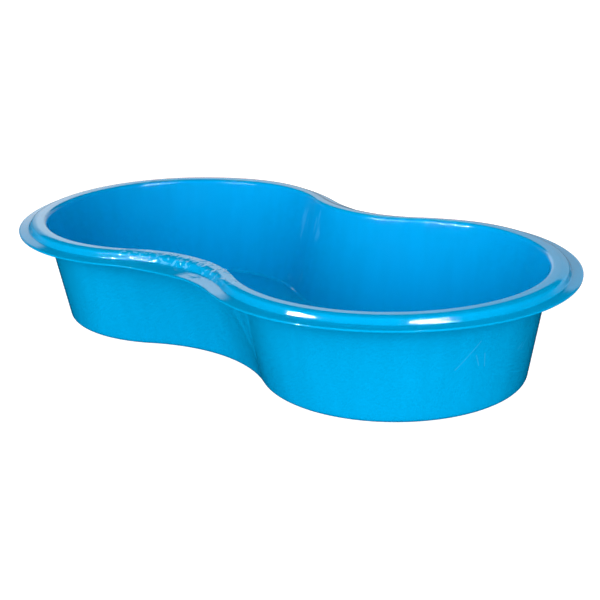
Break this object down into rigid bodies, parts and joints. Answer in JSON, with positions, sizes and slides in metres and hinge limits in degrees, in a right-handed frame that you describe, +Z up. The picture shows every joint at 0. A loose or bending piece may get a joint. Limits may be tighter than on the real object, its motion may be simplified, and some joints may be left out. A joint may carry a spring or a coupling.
{
  "type": "kidney dish",
  "caption": "Open waisted basin with a round lobe at each end, a flat floor, drafted walls and a stepped flange rim, for holding instruments, dressings or fluids on a ward.",
  "frame": {"origin": "centre of the floor's flat underside, where the dish rests", "axes": "+X along the length from lobe to lobe, +Y across the waist, +Z up out of the mouth"},
  "size_m": [0.3, 0.165, 0.0509],
  "materials": {
    "plastic": "gloss"
  },
  "bodies": {
    "root": {"dish_shell": "plastic"}
  },
  "joints": []
}
